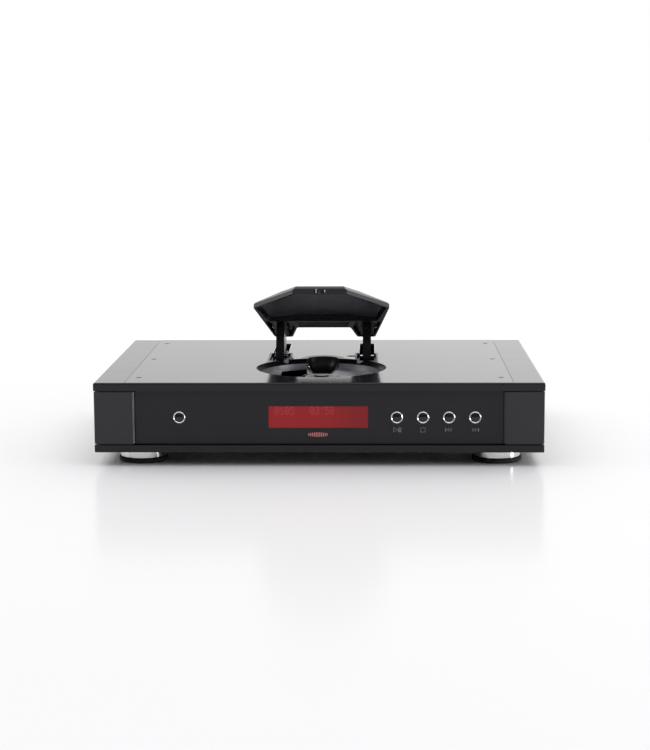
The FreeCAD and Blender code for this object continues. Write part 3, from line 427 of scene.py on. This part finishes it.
def ring_of(name, centre, outer, inner, depth, look, slot):
    """Flat washer facing back, with eased edges."""
    profile = [(inner, 0.0), (inner, depth), (outer - 0.25 * depth, depth), (outer, 0.75 * depth),
               (outer, 0.0)]
    steps = 40
    mesh = bpy.data.meshes.new(name)
    work = bmesh.new()
    loops = []
    for k in range(steps):
        a = 2 * math.pi * k / steps
        loops.append([work.verts.new((centre[0] + r * math.cos(a), centre[1] + y,
                                      centre[2] + r * math.sin(a))) for r, y in profile])
    for k in range(steps):
        this, after = loops[k], loops[(k + 1) % steps]
        for m in range(len(profile)):
            n = (m + 1) % len(profile)
            work.faces.new((this[m], this[n], after[n], after[m]))
    bmesh.ops.recalc_face_normals(work, faces=work.faces[:])
    work.to_mesh(mesh)
    work.free()
    return settle(bpy.data.objects.new(name, mesh), look, "case")


def back_details():
    """Coloured washers and printed outlines round the sockets."""
    for k, (x, look) in enumerate(SOCKETS):
        ring_of(f"socket_washer_{k + 1}", (x, BACK_Y, SOCKET_Z), *WASHER, look, "socket_gold")
    paths = [[(x * MM, BACK_Y + PRINT_LIFT, z * MM) for x, z in ((x0, z0), (x1, z0), (x1, z1), (x0, z1))]
             for x0, x1, z0, z1 in OUTLINES]
    lines("back_outlines", paths, 0.35 * MM, "faint_print", "case", closed=True)


def slot_edge_highlights():
    """Bright lines along the edges of the two arm slots: painted highlights where the slot edges catch
    the light.
    """
    paths = [[(x * MM, y * MM, PLATE_Z) for y in run] for x in SLOT_EDGE_X for run in SLOT_EDGE_RUNS]
    lines("slot_edge_highlights", paths, 0.55 * MM, "painted_highlight_and_trim", "case")


def scoop_half_width(y, z):
    """Half width of the tilted round trough at a height, measured across its axis."""
    along = (SCOOP_END.y - y) * math.cos(SCOOP_TILT) + (z - SCOOP_END.z) * math.sin(SCOOP_TILT)
    off = (z - SCOOP_END.z) * math.cos(SCOOP_TILT) - (SCOOP_END.y - y) * math.sin(SCOOP_TILT)
    rest = SCOOP_R ** 2 - off ** 2 - min(0.0, along) ** 2
    return math.sqrt(rest) if rest > 0 else 0.0


def scoop_edge_highlight():
    """Fine painted highlight along the edge of the finger scoop, down the wall of the well and over its
    floor.
    """
    wall_steps, floor_steps = 8, 11
    right = []
    for k in range(wall_steps + 1):
        z = PLATE_Z - DISH_RIM - (DISH_FLOOR - DISH_RIM) * k / wall_steps
        y = SPINDLE_Y + 59.0 * MM          # first guess, which the next lines correct
        for _ in range(6):
            x = scoop_half_width(y, z)
            y = SPINDLE_Y + math.sqrt(DISH_R ** 2 - x ** 2)
        right.append((x, y - 0.15 * MM, z))
    floor_z = PLATE_Z - DISH_FLOOR
    floor_from = right[-1][1] - 1.0 * MM
    for k in range(floor_steps + 1):
        y = floor_from + (SPINDLE_Y + HUB_CLEAR - floor_from) * k / floor_steps
        right.append((scoop_half_width(y, floor_z), y, floor_z))
    left = [(-x, y, z) for x, y, z in right]
    lines("scoop_edge_highlight", [right, left], 0.5 * MM, "painted_highlight_and_trim", "case")


def plate_pad():
    """Small black rest pad with a bright stud, by the right arm."""
    slabs("rest_pad", [((*PAD[0], PLATE_Z + PAD_Z[0]), (*PAD[1], PLATE_Z + PAD_Z[1]))],
          "rubber", "case", round_by=0.3 * MM)
    dome = bpy.data.meshes.new("rest_stud")
    work = bmesh.new()
    bmesh.ops.create_uvsphere(work, u_segments=20, v_segments=10, radius=STUD_R)
    for vert in work.verts:
        vert.co.z *= STUD_FLAT
        vert.co += Vector((*STUD_AT, PLATE_Z))
    work.to_mesh(dome)
    work.free()
    for face in dome.polygons:
        face.use_smooth = True
    settle(bpy.data.objects.new("rest_stud", dome), "painted_highlight_and_trim", "case")


def lid_glints():
    """Polished blocks in the middle of the lid's front rim that paint the glints of light on it; the
    right one is smaller.
    """
    rim_y, rim_z = LID_RIM
    out, into = LID_GLINT_DEPTH
    for name, x, foot, top in LID_GLINTS:
        stud = slabs(name, [((x - LID_GLINT_HALF_W, rim_y - out, rim_z + foot),
                             (x + LID_GLINT_HALF_W, rim_y + into, rim_z + top))],
                     "painted_highlight_and_trim", "lid", round_by=0.4 * MM)
        for vert in stud.data.vertices:
            vert.co.y += (vert.co.z - rim_z) * LID_LEAN


# ---------------------------------------------------------------- stage, light, camera

FLOOR_EDGE_Y = 195 * MM                    # behind it the floor fades to white over FLOOR_FADE
FLOOR_FADE = 0.9
FLOOR_REACH = 12.0


def pale_floor():
    """Pale, slightly glossy table that fades to white behind the player."""
    mesh = bpy.data.meshes.new("floor")
    corners = ((-1, -1), (1, -1), (1, 1), (-1, 1))
    mesh.from_pydata([(x * FLOOR_REACH, y * FLOOR_REACH, 0) for x, y in corners], [], [(0, 1, 2, 3)])
    floor = bpy.data.objects.new("floor", mesh)
    scene.collection.objects.link(floor)
    mat = bpy.data.materials.new("floor")
    mat.use_nodes = True
    tree = mat.node_tree
    shader = tree.nodes["Principled BSDF"]
    shader.inputs["IOR"].default_value = 1.09
    place = tree.nodes.new("ShaderNodeTexCoord").outputs["Object"]
    cloud = tree.nodes.new("ShaderNodeTexNoise")
    cloud.inputs["Scale"].default_value = 3.0
    tree.links.new(place, cloud.inputs["Vector"])
    near = mixed(tree, cloud.outputs["Fac"], (0.895, 0.895, 0.885, 1), (0.91, 0.91, 0.90, 1))
    split = tree.nodes.new("ShaderNodeSeparateXYZ")
    tree.links.new(place, split.inputs["Vector"])
    beyond = ranged(tree, split.outputs["Y"], FLOOR_EDGE_Y, FLOOR_EDGE_Y + FLOOR_FADE, 0.0, 1.0)
    colour = mixed(tree, beyond, (1, 1, 1, 1), (1, 1, 1, 1))
    tree.links.new(near.outputs[MIX_OUT], colour.inputs[MIX_LOW])
    tree.links.new(colour.outputs[MIX_OUT], shader.inputs["Base Color"])
    tree.links.new(ranged(tree, cloud.outputs["Fac"], 0.0, 1.0, 0.16, 0.20), shader.inputs["Roughness"])
    floor.data.materials.append(mat)


def studio_world():
    """White to the camera; for light and reflections, bright behind the player and dim in front."""
    world = bpy.data.worlds.new("studio")
    scene.world = world
    world.use_nodes = True
    tree = world.node_tree
    tree.nodes.clear()
    out = tree.nodes.new("ShaderNodeOutputWorld")
    seen = tree.nodes.new("ShaderNodeBackground")
    seen.inputs["Color"].default_value = (1, 1, 1, 1)
    seen.inputs["Strength"].default_value = 1.0
    lit = tree.nodes.new("ShaderNodeBackground")
    place = tree.nodes.new("ShaderNodeTexCoord")
    split = tree.nodes.new("ShaderNodeSeparateXYZ")
    tree.links.new(place.outputs["Generated"], split.inputs["Vector"])

    def combine(kind, a, b):
        node = tree.nodes.new("ShaderNodeMath")
        node.operation = kind
        tree.links.new(a, node.inputs[0])
        tree.links.new(b, node.inputs[1])
        return node.outputs["Value"]

    wall = ranged(tree, split.outputs["Y"], -0.35, 0.75, 0.10, 1.22, smooth=True)
    overhead = ranged(tree, split.outputs["Z"], 0.25, 0.95, 0.0, 1.36, smooth=True)
    right = ranged(tree, split.outputs["X"], -0.30, 0.35, 0.90, 1.12, smooth=True)
    total = combine("MULTIPLY", combine("MAXIMUM", wall, overhead), right)
    tree.links.new(total, lit.inputs["Strength"])
    behind = ranged(tree, split.outputs["Y"], -0.5, 0.5, 0.0, 1.0, smooth=True)
    tint = mixed(tree, behind, (0.985, 0.98, 1.03, 1), (1.0, 0.985, 0.995, 1))
    tree.links.new(tint.outputs[MIX_OUT], lit.inputs["Color"])
    path = tree.nodes.new("ShaderNodeLightPath")
    choose = tree.nodes.new("ShaderNodeMixShader")
    tree.links.new(path.outputs["Is Camera Ray"], choose.inputs["Fac"])
    tree.links.new(lit.outputs["Background"], choose.inputs[1])
    tree.links.new(seen.outputs["Background"], choose.inputs[2])
    tree.links.new(choose.outputs["Shader"], out.inputs["Surface"])


def softbox(name, place, aim, size, power):
    """Rectangular lamp of the given size in metres and power in watts, turned towards aim."""
    light = bpy.data.lights.new(name, "AREA")
    light.shape = "RECTANGLE"
    light.size, light.size_y = size
    light.energy = power
    lamp = bpy.data.objects.new(name, light)
    lamp.location = place
    lamp.rotation_euler = (Vector(aim) - Vector(place)).to_track_quat("-Z", "Y").to_euler()
    scene.collection.objects.link(lamp)


def front_camera():
    """Long lens 1.9 m in front, a little to the right, looking down by about nine degrees."""
    data = bpy.data.cameras.new("camera")
    camera = bpy.data.objects.new("camera", data)
    data.sensor_fit = "HORIZONTAL"
    data.sensor_width = 36.0
    data.lens = 99.92
    data.clip_end = 50.0
    yaw, pitch, roll = (math.radians(a) for a in (1.492, 8.722, -0.257))
    ahead = Vector((-math.sin(yaw) * math.cos(pitch), math.cos(yaw) * math.cos(pitch),
                    -math.sin(pitch)))
    side = ahead.cross(Vector((0, 0, 1))).normalized()
    up = side.cross(ahead)
    right = side * math.cos(roll) + up * math.sin(roll)
    top = up * math.cos(roll) - side * math.sin(roll)
    camera.matrix_world = Matrix((right, top, -ahead)).transposed().to_4x4()
    camera.location = (50.81 * MM, -1868.92 * MM, 351.98 * MM)
    scene.collection.objects.link(camera)
    scene.camera = camera


dress_nodes()
button_symbols()
level_mark()
display_digits()
slot_edge_highlights()
scoop_edge_highlight()
plate_pad()
lid_glints()
back_details()
pale_floor()
studio_world()
softbox("right_box", (1.7, -0.42, 0.22), (0, -0.1, 0.05), (0.35, 0.40), 9.0)
softbox("left_box", (-1.7, -0.2, 0.8), (0, 0, 0.05), (0.7, 1.2), 4.0)
front_camera()
scene.view_settings.view_transform = "Standard"
